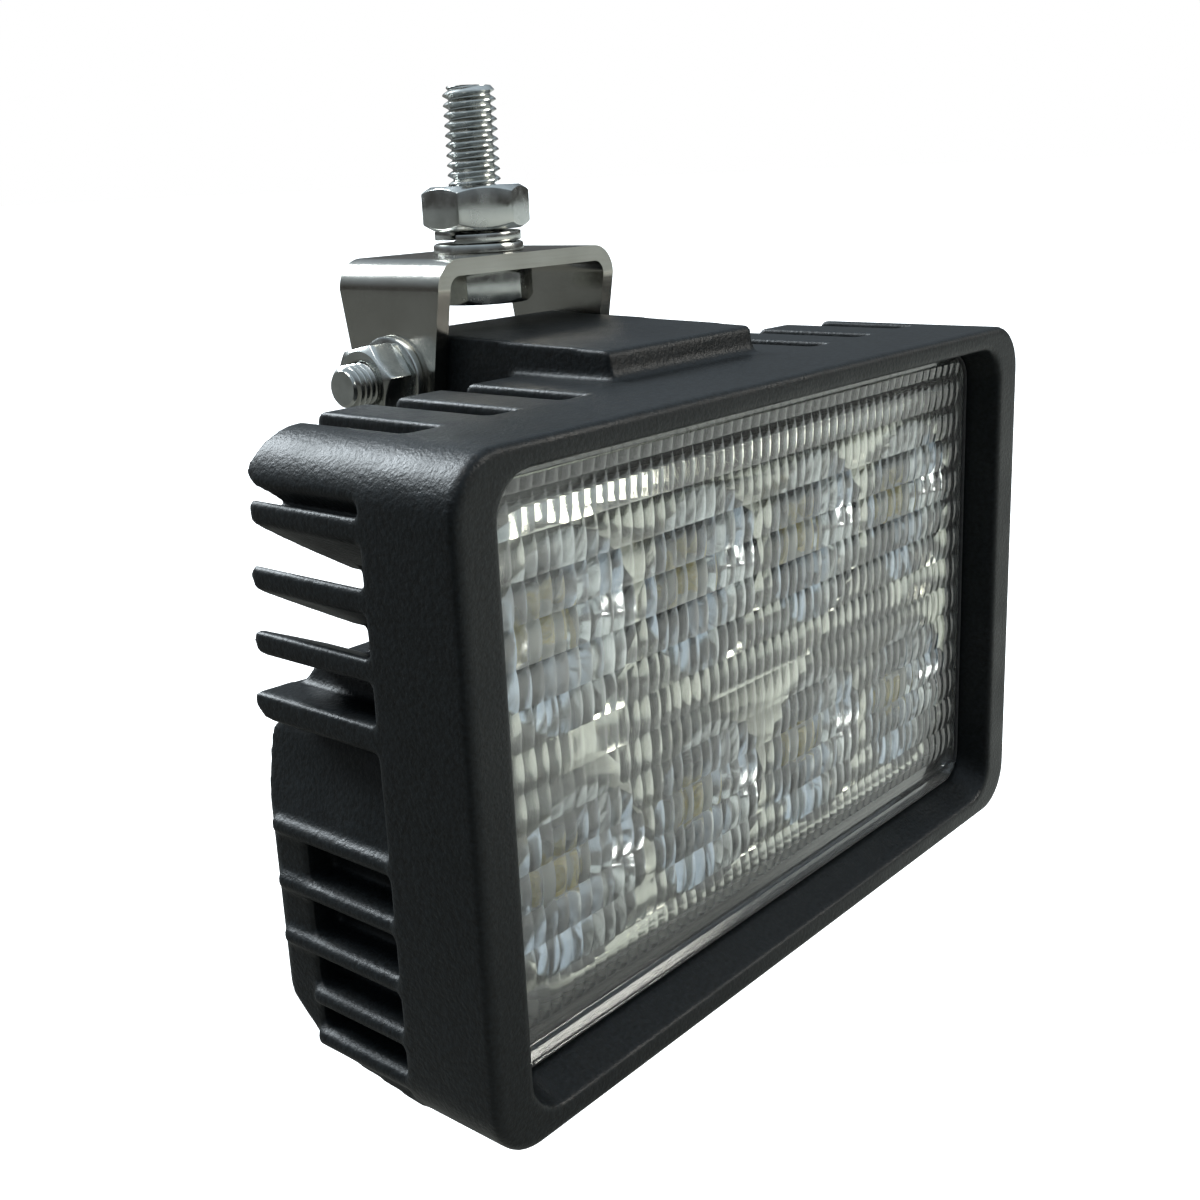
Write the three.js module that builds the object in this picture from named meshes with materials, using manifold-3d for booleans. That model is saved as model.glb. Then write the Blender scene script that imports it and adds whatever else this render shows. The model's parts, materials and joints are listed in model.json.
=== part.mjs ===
// LED fog and work light for a vehicle: a finned die-cast housing with a recessed fluted lens,
// hung in a steel U-bracket from one M10 stud bolt, and tilting on an M8 pivot bolt.
// Millimetres, +Z up. The origin is on the stud's axis, at the top face of the bracket's plate.
// The lamp shines along -Y, and X is its width.
import * as THREE from "three";
import { ConvexGeometry } from "three/addons/geometries/ConvexGeometry.js";
import { mergeVertices } from "three/addons/utils/BufferGeometryUtils.js";
import Module from "manifold-3d";

const wasm = await Module();
wasm.setup();

// ---- driving dimensions -------------------------------------------------------------------
// Lamp sizes are measured from the lamp's own corner: y is the depth behind the front face,
// and z is the height above the housing's top face, so most z values are negative.
const WIDTH = 162;
const HEIGHT = 105;
const CORNER = 9; // outer corner radius
const BEZEL_DEPTH = 19; // solid frame, where the fins start
const FRONT_Y = -73; // front face, measured from the stud's axis
const TOP_Z = -19.5; // housing top face, measured from the bracket plate's top

const LIP_SIDE = 8;
const LIP_TOP = 4;
const RECESS = { depth: 6.4, draft: 0.8, sill: 3, corner: 7 }; // the sill slopes up to the lens
const LENS = { depth: 4, gap: 1.1, corner: 5 };
const CAVITY = { halfWidth: 68.5, top: -11, bottom: -94, floor: 27, corner: 6 };
const REFLECTOR = { bottom: -90, corner: 10, front: 0.5, back: 3.2 };
const CORE = { halfWidth: 71, top: -8, bottom: -97, back: 31, corner: 6 };

const TOP_SLOT = { width: 6.4, pitch: 15.9, first: 35.5, count: 3 };
const TOP_FIN_DROP = 11;
const REAR_Y = 46.5; // ends of the upper fins
const SINK = { halfWidth: 44, bottom: -38, slot: 4.6, pitch: 9.4 };

const SIDE_FIN = { pitch: 10, thickness: 3.8, reach: 12 };
const BOX = {
  halfWidth: 79.4, // at the ribs; the sides lean in above them
  shoulderHalf: 76.2,
  topHalf: 71.5,
  top: -36.5,
  shoulder: -48,
  back: 49.5,
  corner: 3,
  low: -91,
  bottom: -99.5,
  front: -102,
};
const RIB_TOPS = [-60.6, -70.2, -79.8, -88.6, -96];
const RIB_THICKNESS = 3.3;
const POCKET = { inner: 74, back: 40 }; // hollows between the ribs
const COVER = { left: -70, right: 44, top: -53, bottom: -89, thickness: 2.5, corner: 5 };
const DRIVER_WELL = { left: -62, right: 36, top: -58, bottom: -85, depth: 13 };

const BOSS = { halfWidth: 20.5, front: 24, top: 5, lug: 8.3 };
const PIVOT = { y: 73, z: -1.8 };
const SHEET = 3; // bracket sheet thickness
const BRACKET = { halfWidth: 24, topHalf: 13.2, lowHalf: 10.5, bend: 5.5 };

const M10 = {
  radius: 5,
  across: 18,
  nut: 8,
  head: 6.4,
  flatWasher: 8.6,
  flat: 1.8,
  springWasher: 8.2,
  spring: 2.4,
};
const M8 = { radius: 4, across: 13, nut: 6.5, head: 5.3, flatWasher: 8, flat: 1.6, past: 4.4 };
const SCREW = { radius: 1.5, hole: 1.8, cover: 2.6, board: 2.7 }; // M3 cover and board screws
const STUD_TOP = 30; // stud length above the plate
const CLEAR = 0.3; // gap between neighbours
const CUPS = { columns: [-51, -17, 17, 51], rows: [-32.2, -72.8], mouth: 16.4, throat: 4 };
const GLAND = { x: 60, z: -72, bore: 6.2 };
const VENT = { x: 22, z: -71, radius: 3.9, cap: 5.6 };
const OVER = 1; // how far a cutting solid runs past the face it cuts

const PIVOT_Z = TOP_Z + PIVOT.z;
const TAU = Math.PI * 2;

// ---- materials ----------------------------------------------------------------------------
const paint = (color, roughness, metalness) =>
  new THREE.MeshStandardMaterial({ color, roughness, metalness });
const castBlack = paint(0x3b4044, 0.55, 0.25);
const clearLens = new THREE.MeshStandardMaterial({
  color: 0xe4ebe6,
  roughness: 0.1,
  metalness: 0,
  transparent: true,
  opacity: 0.45,
});
const chromeCup = paint(0xd9dcdd, 0.08, 1);
const stainless = paint(0xaeb0aa, 0.28, 1);
const zinc = paint(0xc2c6c8, 0.25, 1);
const rubber = paint(0x1b1c1d, 0.8, 0);
const greenBoard = paint(0x1e5a35, 0.5, 0);
const whiteBoard = paint(0xe2e4de, 0.5, 0);
const padGrey = paint(0x8d9294, 0.9, 0);
const ledYellow = paint(0xd8c25a, 0.35, 0);
const partBlack = paint(0x202224, 0.4, 0);
const nylon = paint(0x17181a, 0.5, 0);

// ---- solids -------------------------------------------------------------------------------
function solid(geometry) {
  const bare = geometry.index ? geometry.toNonIndexed() : geometry.clone();
  bare.deleteAttribute("normal");
  bare.deleteAttribute("uv");
  const merged = mergeVertices(bare, 1e-4);
  return new wasm.Manifold(
    new wasm.Mesh({
      numProp: 3,
      vertProperties: merged.attributes.position.array,
      triVerts: new Uint32Array(merged.index.array),
    }),
  );
}

function geometryOf(body) {
  const { vertProperties, triVerts, numProp, numVert } = body.getMesh();
  const points = new Float32Array(numVert * 3);
  for (let i = 0; i < numVert; i++) {
    points.set(vertProperties.subarray(i * numProp, i * numProp + 3), i * 3);
  }
  const geometry = new THREE.BufferGeometry();
  geometry.setAttribute("position", new THREE.BufferAttribute(points, 3));
  geometry.setIndex(new THREE.BufferAttribute(new Uint32Array(triVerts), 1));
  geometry.computeVertexNormals();
  return geometry;
}

const join = (...bodies) => bodies.reduce((all, one) => all.add(one));
const cut = (body, ...tools) => tools.reduce((rest, one) => rest.subtract(one), body);

const shapeOf = (points) => new THREE.Shape(points.map(([u, v]) => new THREE.Vector2(u, v)));

function extruded(shape, depth, u, v, w, start, segments = 5) {
  const settings = { depth, bevelEnabled: false, curveSegments: segments };
  const geometry = new THREE.ExtrudeGeometry(shape, settings);
  geometry.applyMatrix4(new THREE.Matrix4().makeBasis(u, v, w).setPosition(start));
  return solid(geometry);
}

const AXIS_X = new THREE.Vector3(1, 0, 0);
const AXIS_Y = new THREE.Vector3(0, 1, 0);
const AXIS_Z = new THREE.Vector3(0, 0, 1);
const BACK_TO_FRONT = new THREE.Vector3(0, -1, 0);

// A (y, z) outline carried along X.
function prismX(shape, x0, x1, segments) {
  return extruded(shape, x1 - x0, AXIS_Y, AXIS_Z, AXIS_X, new THREE.Vector3(x0, 0, 0), segments);
}

// An (x, z) outline carried along Y.
function prismY(shape, y0, y1, segments) {
  const start = new THREE.Vector3(0, y1, 0);
  return extruded(shape, y1 - y0, AXIS_X, AXIS_Z, BACK_TO_FRONT, start, segments);
}

function block(x0, x1, y0, y1, z0, z1) {
  const box = new THREE.BoxGeometry(x1 - x0, y1 - y0, z1 - z0);
  return solid(box.translate((x0 + x1) / 2, (y0 + y1) / 2, (z0 + z1) / 2));
}

function roundedRect(x0, x1, z0, z1, r) {
  const shape = new THREE.Shape();
  shape.moveTo(x0 + r, z0);
  shape.lineTo(x1 - r, z0);
  shape.absarc(x1 - r, z0 + r, r, -Math.PI / 2, 0);
  shape.lineTo(x1, z1 - r);
  shape.absarc(x1 - r, z1 - r, r, 0, Math.PI / 2);
  shape.lineTo(x0 + r, z1);
  shape.absarc(x0 + r, z1 - r, r, Math.PI / 2, Math.PI);
  shape.lineTo(x0, z0 + r);
  shape.absarc(x0 + r, z0 + r, r, Math.PI, Math.PI * 1.5);
  return shape;
}

// The convex body between two (x, z) outlines at two depths.
function taper(front, y0, back, y1) {
  const ring = (shape, y) => shape.getPoints(5).map((p) => new THREE.Vector3(p.x, y, p.y));
  return solid(new ConvexGeometry([...ring(front, y0), ...ring(back, y1)]));
}

// A round or many-sided bar along one axis, centred on (u, v) of the other two axes in X, Y, Z order.
function rod(axis, radius, from, to, u, v, sides = 24, turn = 0) {
  const bar = new THREE.CylinderGeometry(radius, radius, to - from, sides);
  bar.rotateY(turn).translate(0, (from + to) / 2, 0);
  if (axis === "x") bar.rotateZ(-Math.PI / 2).translate(0, u, v);
  if (axis === "y") bar.translate(u, 0, v);
  if (axis === "z") bar.rotateX(Math.PI / 2).translate(u, v, 0);
  return solid(bar);
}

const hexRadius = (across) => across / Math.sqrt(3);

// A hexagon with its corners turned down by a cone at the named ends.
function hexBar(axis, across, from, to, u, v, turn) {
  const corner = hexRadius(across);
  const hex = rod(axis, corner, from, to, u, v, 6, turn);
  const lead = corner - across / 2 + 0.3;
  const mid = (from + to) / 2;
  const half = (to - from) / 2;
  const profile = [
    [0, -half],
    [corner - lead, -half],
    [corner + 0.05, -half + lead * 0.6],
    [corner + 0.05, half - lead * 0.6],
    [corner - lead, half],
    [0, half],
  ];
  const turned = new THREE.LatheGeometry(
    profile.map(([r, h]) => new THREE.Vector2(r, h)),
    24,
  );
  turned.translate(0, mid, 0);
  if (axis === "x") turned.rotateZ(-Math.PI / 2).translate(0, u, v);
  if (axis === "z") turned.rotateX(Math.PI / 2).translate(u, v, 0);
  return hex.intersect(solid(turned));
}

const mirrored = (body) => body.mirror([1, 0, 0]);
const bothSides = (body) => join(body, mirrored(body));

// ---- housing ------------------------------------------------------------------------------
const HALF = WIDTH / 2;

function bezel() {
  const outline = roundedRect(-HALF, HALF, -HEIGHT, 0, CORNER);
  const inset = 0.8; // small chamfer round the front edge
  const front = roundedRect(-HALF + inset, HALF - inset, -HEIGHT + inset, -inset, CORNER - inset);
  return join(taper(front, 0, outline, inset), prismY(outline, inset, BEZEL_DEPTH));
}

function core() {
  const { halfWidth, top, bottom, back, corner } = CORE;
  return prismY(roundedRect(-halfWidth, halfWidth, bottom, top, corner), BEZEL_DEPTH - OVER, back);
}

// Comb of plates over the top: the land between each pair of slots hangs from the top face.
function topLand(x0, x1, drop) {
  const end = shapeOf([
    [BEZEL_DEPTH - OVER, -drop],
    [REAR_Y - 5, -drop],
    [REAR_Y, -drop + 5],
    [REAR_Y, -1.2],
    [REAR_Y - 1.2, 0],
    [BEZEL_DEPTH - OVER, 0],
  ]);
  return prismX(end, x0, x1);
}

function topComb() {
  const lands = [];
  for (let i = 0; i < TOP_SLOT.count - 1; i++) {
    const x0 = TOP_SLOT.first + TOP_SLOT.width / 2 + i * TOP_SLOT.pitch;
    lands.push(topLand(x0, x0 + TOP_SLOT.pitch - TOP_SLOT.width, TOP_FIN_DROP));
  }
  return join(...lands);
}

// Flat top between the inner pair of slots, which carries the boss.
function topDeck() {
  const half = TOP_SLOT.first - TOP_SLOT.width / 2;
  return topLand(-half, half, TOP_FIN_DROP + 4);
}

// Side fin: a plate whose outer edge is high and which falls inward by drop over its reach.
// Its free end is rounded off underneath.
function sideFin(top, drop, tip, thickness = SIDE_FIN.thickness) {
  const inner = HALF - SIDE_FIN.reach;
  const section = shapeOf([
    [HALF - 0.6, top],
    [HALF, top - 0.6],
    [HALF, top - thickness + 0.6],
    [HALF - 0.6, top - thickness],
    [inner, top - thickness - drop],
    [inner, top - drop],
  ]);
  const round = 4;
  const low = top - thickness - drop - OVER;
  const end = new THREE.Shape();
  end.moveTo(BEZEL_DEPTH - OVER, low);
  end.lineTo(tip - round * 2.4, low);
  end.quadraticCurveTo(tip - 0.5, top - thickness - drop * 0.4, tip, top - 1.5);
  end.lineTo(tip - 0.8, top + OVER);
  end.lineTo(BEZEL_DEPTH - OVER, top + OVER);
  return prismY(section, BEZEL_DEPTH - OVER, tip).intersect(prismX(end, inner - OVER, HALF + OVER));
}

// The rounded top corner carried back as the first fin, cut at an angle behind.
function cornerFin() {
  const inner = HALF - SIDE_FIN.reach;
  const section = new THREE.Shape();
  section.moveTo(inner + 2.1, 0);
  section.lineTo(HALF - CORNER, 0);
  section.absarc(HALF - CORNER, -CORNER, CORNER, Math.PI / 2, Math.PI * 0.06, true);
  section.lineTo(HALF - 0.6, -CORNER + 1);
  section.lineTo(inner + 2.1, -18.2);
  const end = new THREE.Shape();
  end.moveTo(BEZEL_DEPTH - OVER, -20);
  end.lineTo(BEZEL_DEPTH + 9, -18.6);
  end.lineTo(BEZEL_DEPTH + 15, -13.4);
  end.lineTo(40, -8.6);
  end.quadraticCurveTo(43.5, -7, 43, -5);
  end.lineTo(40.5, 1);
  end.lineTo(BEZEL_DEPTH - OVER, 1);
  return prismY(section, BEZEL_DEPTH - OVER, 44).intersect(prismX(end, inner, HALF + OVER));
}

function sideComb() {
  const { pitch } = SIDE_FIN;
  const fins = [
    cornerFin(),
    sideFin(-pitch, 8.4, 42.8),
    sideFin(-2 * pitch, 7, 44),
    sideFin(-3 * pitch, 5, 45),
    sideFin(-4 * pitch, 0.8, 46.5, 4.4),
  ];
  return join(...fins);
}

// Low ribs on the driver box's sides; each ends just short of the box's rear corner.
function sideRibs() {
  const ribs = RIB_TOPS.map((top) => {
    const back = top - RIB_THICKNESS < BOX.low ? BOX.back - 9 : BOX.back - 3;
    const low = top - RIB_THICKNESS;
    const x0 = BOX.halfWidth - 2;
    const section = shapeOf([
      [x0, low],
      [HALF - 1, low + 0.2],
      [HALF - 0.2, low + 0.9],
      [HALF - 0.2, top - 0.9],
      [HALF - 1, top - 0.2],
      [x0, top],
    ]);
    return prismY(section, BEZEL_DEPTH - OVER, back);
  });
  return join(...ribs);
}

function driverBox() {
  const { halfWidth, shoulderHalf, topHalf, top, shoulder, back, low, bottom, front } = BOX;
  const side = shapeOf([
    [BEZEL_DEPTH - OVER, front],
    [back - 9.5, bottom],
    [back - 1, low - 0.8],
    [back, low],
    [back, shoulder],
    [back - 1, shoulder + 1],
    [back - 7.5, top],
    [BEZEL_DEPTH - OVER, top],
  ]);
  const end = shapeOf([
    [-halfWidth, front - OVER],
    [-halfWidth, RIB_TOPS[0]],
    [-shoulderHalf, shoulder],
    [-topHalf, top],
    [topHalf, top],
    [shoulderHalf, shoulder],
    [halfWidth, RIB_TOPS[0]],
    [halfWidth, front - OVER],
  ]);
  const { corner } = BOX;
  const plan = new THREE.Shape(); // (x, y) outline with rounded rear corners
  plan.moveTo(-halfWidth, 0);
  plan.lineTo(halfWidth, 0);
  plan.lineTo(halfWidth, back - corner);
  plan.absarc(halfWidth - corner, back - corner, corner, 0, Math.PI / 2);
  plan.lineTo(-halfWidth + corner, back);
  plan.absarc(-halfWidth + corner, back - corner, corner, Math.PI / 2, Math.PI);
  const start = new THREE.Vector3(0, 0, front - OVER);
  const footprint = extruded(plan, top - front + 2 * OVER, AXIS_X, AXIS_Y, AXIS_Z, start);
  const body = prismX(side, -halfWidth - OVER, halfWidth + OVER).intersect(footprint);
  return body.intersect(prismY(end, 0, back + OVER));
}

// Hollows between the side ribs, closed behind by the box's rear edge.
function sidePockets() {
  const pockets = [];
  for (let i = 0; i + 1 < RIB_TOPS.length; i++) {
    const high = RIB_TOPS[i] - RIB_THICKNESS;
    const low = RIB_TOPS[i + 1];
    pockets.push(block(POCKET.inner, HALF + OVER, BEZEL_DEPTH, POCKET.back, low, high));
  }
  return join(...pockets);
}

// Heat sink behind the light chamber, with vertical slots from the rear.
function heatSink() {
  const { halfWidth, bottom, slot, pitch } = SINK;
  let body = block(-halfWidth, halfWidth, CORE.back - OVER, REAR_Y - 1, bottom, -TOP_FIN_DROP + 1);
  for (let x = -4 * pitch; x <= 4 * pitch + 0.1; x += pitch) {
    const slotTop = Math.abs(x) < TOP_SLOT.first ? -TOP_FIN_DROP - 4 : OVER;
    const x0 = x - slot / 2;
    body = cut(body, block(x0, x0 + slot, CORE.back + 2, REAR_Y, bottom - OVER, slotTop));
  }
  return body;
}

// Raised block on the top centre that runs back into the pivot lug.
function boss() {
  const { halfWidth, front, top, lug } = BOSS;
  const side = new THREE.Shape();
  side.moveTo(front - 1.6, -3);
  side.lineTo(front - 1.6, 0);
  side.quadraticCurveTo(front - 0.3, 0.2, front, 1.6);
  side.lineTo(front + 0.5, top - 0.6);
  side.lineTo(front + 1.2, top);
  side.lineTo(PIVOT.y, PIVOT.z + lug);
  side.absarc(PIVOT.y, PIVOT.z, lug, Math.PI / 2, -Math.PI / 2, true);
  side.lineTo(PIVOT.y - 9, PIVOT.z - lug);
  side.lineTo(REAR_Y - OVER, -22);
  side.lineTo(CORE.back, -22);
  side.lineTo(CORE.back, -3);
  return prismX(side, -halfWidth, halfWidth);
}

function lightChamber() {
  const { depth, draft, sill, corner } = RECESS;
  const x = HALF - LIP_SIDE;
  const opening = (inset, rise, r) =>
    roundedRect(-x + inset, x - inset, -HEIGHT + LIP_TOP + rise, -LIP_TOP - inset, r);
  const front = opening((-draft * OVER) / depth, (-sill * OVER) / depth, corner);
  const seat = opening(draft, sill, corner - draft);
  const mouth = taper(front, -OVER, seat, depth);
  const ledge = prismY(seat, depth - 0.01, depth + LENS.depth + CLEAR);
  const c = CAVITY;
  const well = prismY(
    roundedRect(-c.halfWidth, c.halfWidth, c.bottom, c.top, c.corner),
    depth,
    c.floor,
  );
  return join(mouth, ledge, well);
}

function driverWell() {
  const w = DRIVER_WELL;
  const seat = roundedRect(COVER.left, COVER.right, COVER.bottom, COVER.top, COVER.corner);
  const well = roundedRect(w.left, w.right, w.bottom, w.top, 4);
  const seatDepth = COVER.thickness + 1;
  return join(
    prismY(seat, BOX.back - seatDepth, BOX.back + OVER),
    prismY(well, BOX.back - seatDepth - w.depth, BOX.back),
  );
}

const COVER_SCREWS = [-66.3, -13, 40.3].flatMap((x) => [
  [x, COVER.top - 3],
  [x, COVER.bottom + 3],
]);
const BOARD_SCREWS = [
  [-34, -52.5],
  [34, -52.5],
  [0, -15.5],
  [0, -89.5],
];

function housing() {
  let body = join(
    bezel(),
    core(),
    topComb(),
    mirrored(topComb()),
    topDeck(),
    bothSides(sideComb()),
    bothSides(sideRibs()),
    driverBox(),
    heatSink(),
    boss(),
  );
  body = cut(
    body,
    lightChamber(),
    driverWell(),
    bothSides(sidePockets()),
    rod("x", M8.radius + CLEAR, -HALF, HALF, PIVOT.y, PIVOT.z, 32),
    rod("y", GLAND.bore + CLEAR, CORE.back + 4, BOX.back + OVER, GLAND.x, GLAND.z),
  );
  const slots = [];
  for (let i = 0; i < TOP_SLOT.count; i++) {
    const x = TOP_SLOT.first + i * TOP_SLOT.pitch;
    const half = TOP_SLOT.width / 2;
    slots.push(block(x - half, x + half, BEZEL_DEPTH, REAR_Y + OVER, CORE.top, OVER));
  }
  body = cut(body, bothSides(join(...slots)));
  for (const [x, z] of COVER_SCREWS) {
    body = cut(body, rod("y", SCREW.radius + 0.1, BOX.back - 12, BOX.back, x, z, 12));
  }
  for (const [x, z] of BOARD_SCREWS) {
    body = cut(body, rod("y", SCREW.radius + 0.1, CAVITY.floor - OVER, CAVITY.floor + 2.8, x, z, 12));
  }
  return body;
}

// ---- light chamber ------------------------------------------------------------------------
const LENS_HALF = HALF - LIP_SIDE - RECESS.draft - LENS.gap;
const LENS_TOP = -LIP_TOP - RECESS.draft - LENS.gap;
const LENS_BOTTOM = -HEIGHT + LIP_TOP + RECESS.sill + LENS.gap;

function lens() {
  const { depth } = RECESS;
  return prismY(
    roundedRect(-LENS_HALF, LENS_HALF, LENS_BOTTOM, LENS_TOP, LENS.corner),
    depth,
    depth + LENS.depth,
  );
}

// Bead of sealant between the lens edge and the recess wall.
function lensSeal() {
  const ring = (out) => {
    const x = LENS_HALF + out;
    return roundedRect(-x, x, LENS_BOTTOM - out, LENS_TOP + out, LENS.corner + out);
  };
  const back = RECESS.depth + LENS.depth;
  return cut(
    prismY(ring(LENS.gap - CLEAR), RECESS.depth + 0.4, back),
    prismY(ring(CLEAR), RECESS.depth, back + OVER),
  );
}

function cupCentres() {
  return CUPS.rows.flatMap((z) => CUPS.columns.map((x) => [x, z]));
}

function reflector() {
  const { bottom, corner, front, back } = REFLECTOR;
  const y0 = RECESS.depth + LENS.depth + front;
  const y1 = CAVITY.floor - back;
  const x = CAVITY.halfWidth - 0.5;
  let tray = prismY(roundedRect(-x, x, bottom, CAVITY.top - 0.5, corner), y0, y1);
  for (const [x, z] of cupCentres()) {
    const bowl = new THREE.CylinderGeometry(CUPS.throat, CUPS.mouth, y1 - y0 + 2 * OVER, 24);
    bowl.translate(x, (y0 + y1) / 2, z);
    tray = cut(tray, solid(bowl));
  }
  for (const [x, z] of BOARD_SCREWS) {
    tray = cut(tray, rod("y", 3.2, y1 - 4, y1 + OVER, x, z, 12));
  }
  return tray;
}

// Holes for screws through a plate that lies between two depths.
function screwHoles(places, from, to) {
  return places.map(([x, z]) => rod("y", SCREW.hole, from - OVER, to + OVER, x, z, 12));
}

const BOARD_BACK = CAVITY.floor - 0.8;
const BOARD_FRONT = BOARD_BACK - 1.6;

function ledBoard() {
  const c = CAVITY;
  const outline = roundedRect(-c.halfWidth + 1, c.halfWidth - 1, c.bottom + 1, c.top - 1, 4);
  const holes = screwHoles(BOARD_SCREWS, BOARD_FRONT, BOARD_BACK);
  return cut(prismY(outline, BOARD_FRONT, BOARD_BACK), ...holes);
}

function thermalPad() {
  const c = CAVITY;
  const outline = roundedRect(-c.halfWidth + 6, c.halfWidth - 6, c.bottom + 7, c.top - 7, 3);
  const holes = screwHoles(BOARD_SCREWS, BOARD_BACK, CAVITY.floor);
  return cut(prismY(outline, BOARD_BACK, CAVITY.floor), ...holes);
}

// Square LED package with a low dome, standing on the board and looking out of its cup.
function led(x, z) {
  const half = 1.75;
  const base = block(x - half, x + half, BOARD_FRONT - 0.9, BOARD_FRONT, z - half, z + half);
  const domeRadius = 1.5;
  const dome = new THREE.SphereGeometry(domeRadius, 16, 10);
  dome.translate(x, BOARD_FRONT - 0.8, z);
  const front = block(x - half, x + half, BOARD_FRONT - 4, BOARD_FRONT - 0.5, z - half, z + half);
  return join(base, solid(dome).intersect(front));
}

function panScrew(x, z, face, length) {
  const shank = rod("y", SCREW.radius, face, face + length, x, z, 12);
  const head = rod("y", SCREW.board, face - 1.8, face, x, z, 24);
  const drive = rod("y", 1.3, face - 1.8 - OVER, face - 0.8, x, z, 6);
  return cut(join(shank, head), drive);
}

// ---- driver compartment -------------------------------------------------------------------
const COVER_FRONT = BOX.back - COVER.thickness;
const WELL_FLOOR = BOX.back - COVER.thickness - 1 - DRIVER_WELL.depth;

function driverCover() {
  const gap = CLEAR;
  const c = COVER;
  const outline = roundedRect(c.left + gap, c.right - gap, c.bottom + gap, c.top - gap, c.corner);
  const holes = screwHoles(COVER_SCREWS, COVER_FRONT, BOX.back);
  const vent = rod("y", VENT.radius + CLEAR, COVER_FRONT - 1, BOX.back + 1, VENT.x, VENT.z);
  return cut(prismY(outline, COVER_FRONT, BOX.back - 0.2), vent, ...holes);
}

function coverGasket() {
  const c = COVER;
  const w = DRIVER_WELL;
  const ring = prismY(
    roundedRect(c.left + 0.5, c.right - 0.5, c.bottom + 0.5, c.top - 0.5, c.corner),
    COVER_FRONT - 1,
    COVER_FRONT,
  );
  const window = prismY(
    roundedRect(w.left, w.right, w.bottom, w.top, 4),
    COVER_FRONT - 2,
    COVER_FRONT + 1,
  );
  const holes = screwHoles(COVER_SCREWS, COVER_FRONT - 1, COVER_FRONT);
  return cut(ring, window, ...holes);
}

// Screw whose low head stands on the cover, its tip in the housing wall.
function coverScrew(x, z) {
  const shank = rod("y", SCREW.radius, BOX.back - 11, BOX.back - 0.2, x, z, 12);
  const head = rod("y", SCREW.cover, BOX.back - 0.2, BOX.back + 1.4, x, z, 24);
  const drive = rod("y", 1.3, BOX.back + 0.6, BOX.back + 3, x, z, 6);
  return cut(join(shank, head), drive);
}

function ventPlug() {
  const stem = rod("y", VENT.radius, COVER_FRONT, BOX.back, VENT.x, VENT.z);
  return join(stem, rod("y", VENT.cap, BOX.back - 0.1, BOX.back + 1.6, VENT.x, VENT.z));
}

const BOARD_Y = WELL_FLOOR + 2;
const DRIVER_BOARD = { left: -58, right: 32, top: -60, bottom: -83, thickness: 1.6 };
const BOARD_MID = (DRIVER_BOARD.top + DRIVER_BOARD.bottom) / 2;
const CHOKE = { x: -38, half: 6, height: 6.4, coil: 4.6, cap: 0.6 };
const CAPACITOR = { x: [-22, -11], radius: 4, height: 8.5, foot: 0.9 };
const CONTROLLER = { x: 12, halfWidth: 6, halfHeight: 5, height: 1.8 };
const SPACERS = [-50, 24];

function driverBoard() {
  const b = DRIVER_BOARD;
  return block(b.left, b.right, BOARD_Y, BOARD_Y + b.thickness, b.bottom, b.top);
}

function spacer(x) {
  return rod("y", 2.5, WELL_FLOOR, BOARD_Y, x, BOARD_MID, 16);
}

const FOOT = BOARD_Y + DRIVER_BOARD.thickness; // where the board's components stand

function choke() {
  const { x, half, height, coil, cap } = CHOKE;
  const top = FOOT + height;
  const former = block(x - half, x + half, FOOT, top, BOARD_MID - half, BOARD_MID + half);
  return join(former, rod("y", coil, top - OVER, top + cap, x, BOARD_MID, 24));
}

function capacitor(x) {
  const { radius, height, foot } = CAPACITOR;
  const r = radius + 0.1;
  return join(
    rod("y", radius, FOOT, FOOT + height, x, BOARD_MID, 24),
    block(x - r, x + r, FOOT, FOOT + foot, BOARD_MID - r, BOARD_MID + r),
  );
}

function controller() {
  const { x, halfWidth, halfHeight, height } = CONTROLLER;
  const low = BOARD_MID - halfHeight;
  return block(x - halfWidth, x + halfWidth, FOOT, FOOT + height, low, low + 2 * halfHeight);
}

// ---- cable inlet --------------------------------------------------------------------------
function glandBody() {
  const collar = hexBarY(19, BOX.back, BOX.back + 4.5, GLAND.x, GLAND.z);
  const stem = rod("y", GLAND.bore, BOX.back - 9, BOX.back + 0.1, GLAND.x, GLAND.z);
  const neck = rod("y", 7.4, BOX.back + 4, BOX.back + 10, GLAND.x, GLAND.z);
  return cut(join(collar, stem, neck), rod("y", 4.4, BOX.back - 10, BOX.back + 11, GLAND.x, GLAND.z));
}

function hexBarY(across, from, to, x, z) {
  return rod("y", hexRadius(across), from, to, x, z, 6, Math.PI / 6);
}

function glandNut() {
  const from = BOX.back + 4.8;
  const shell = hexBarY(18, from, from + 6, GLAND.x, GLAND.z);
  const dome = new THREE.CylinderGeometry(5.4, 8.9, 5, 32);
  dome.translate(GLAND.x, from + 8.4, GLAND.z);
  const cap = join(shell, solid(dome));
  return cut(
    cap,
    rod("y", 7.4 + CLEAR, from - OVER, BOX.back + 10 + CLEAR, GLAND.x, GLAND.z),
    rod("y", 4.1, from, from + 12, GLAND.x, GLAND.z),
  );
}

function glandSeal() {
  const ring = rod("y", 3.8, BOX.back + 1, BOX.back + 15.2, GLAND.x, GLAND.z);
  return cut(ring, rod("y", 2.6, BOX.back, BOX.back + 17, GLAND.x, GLAND.z, 24));
}

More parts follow.
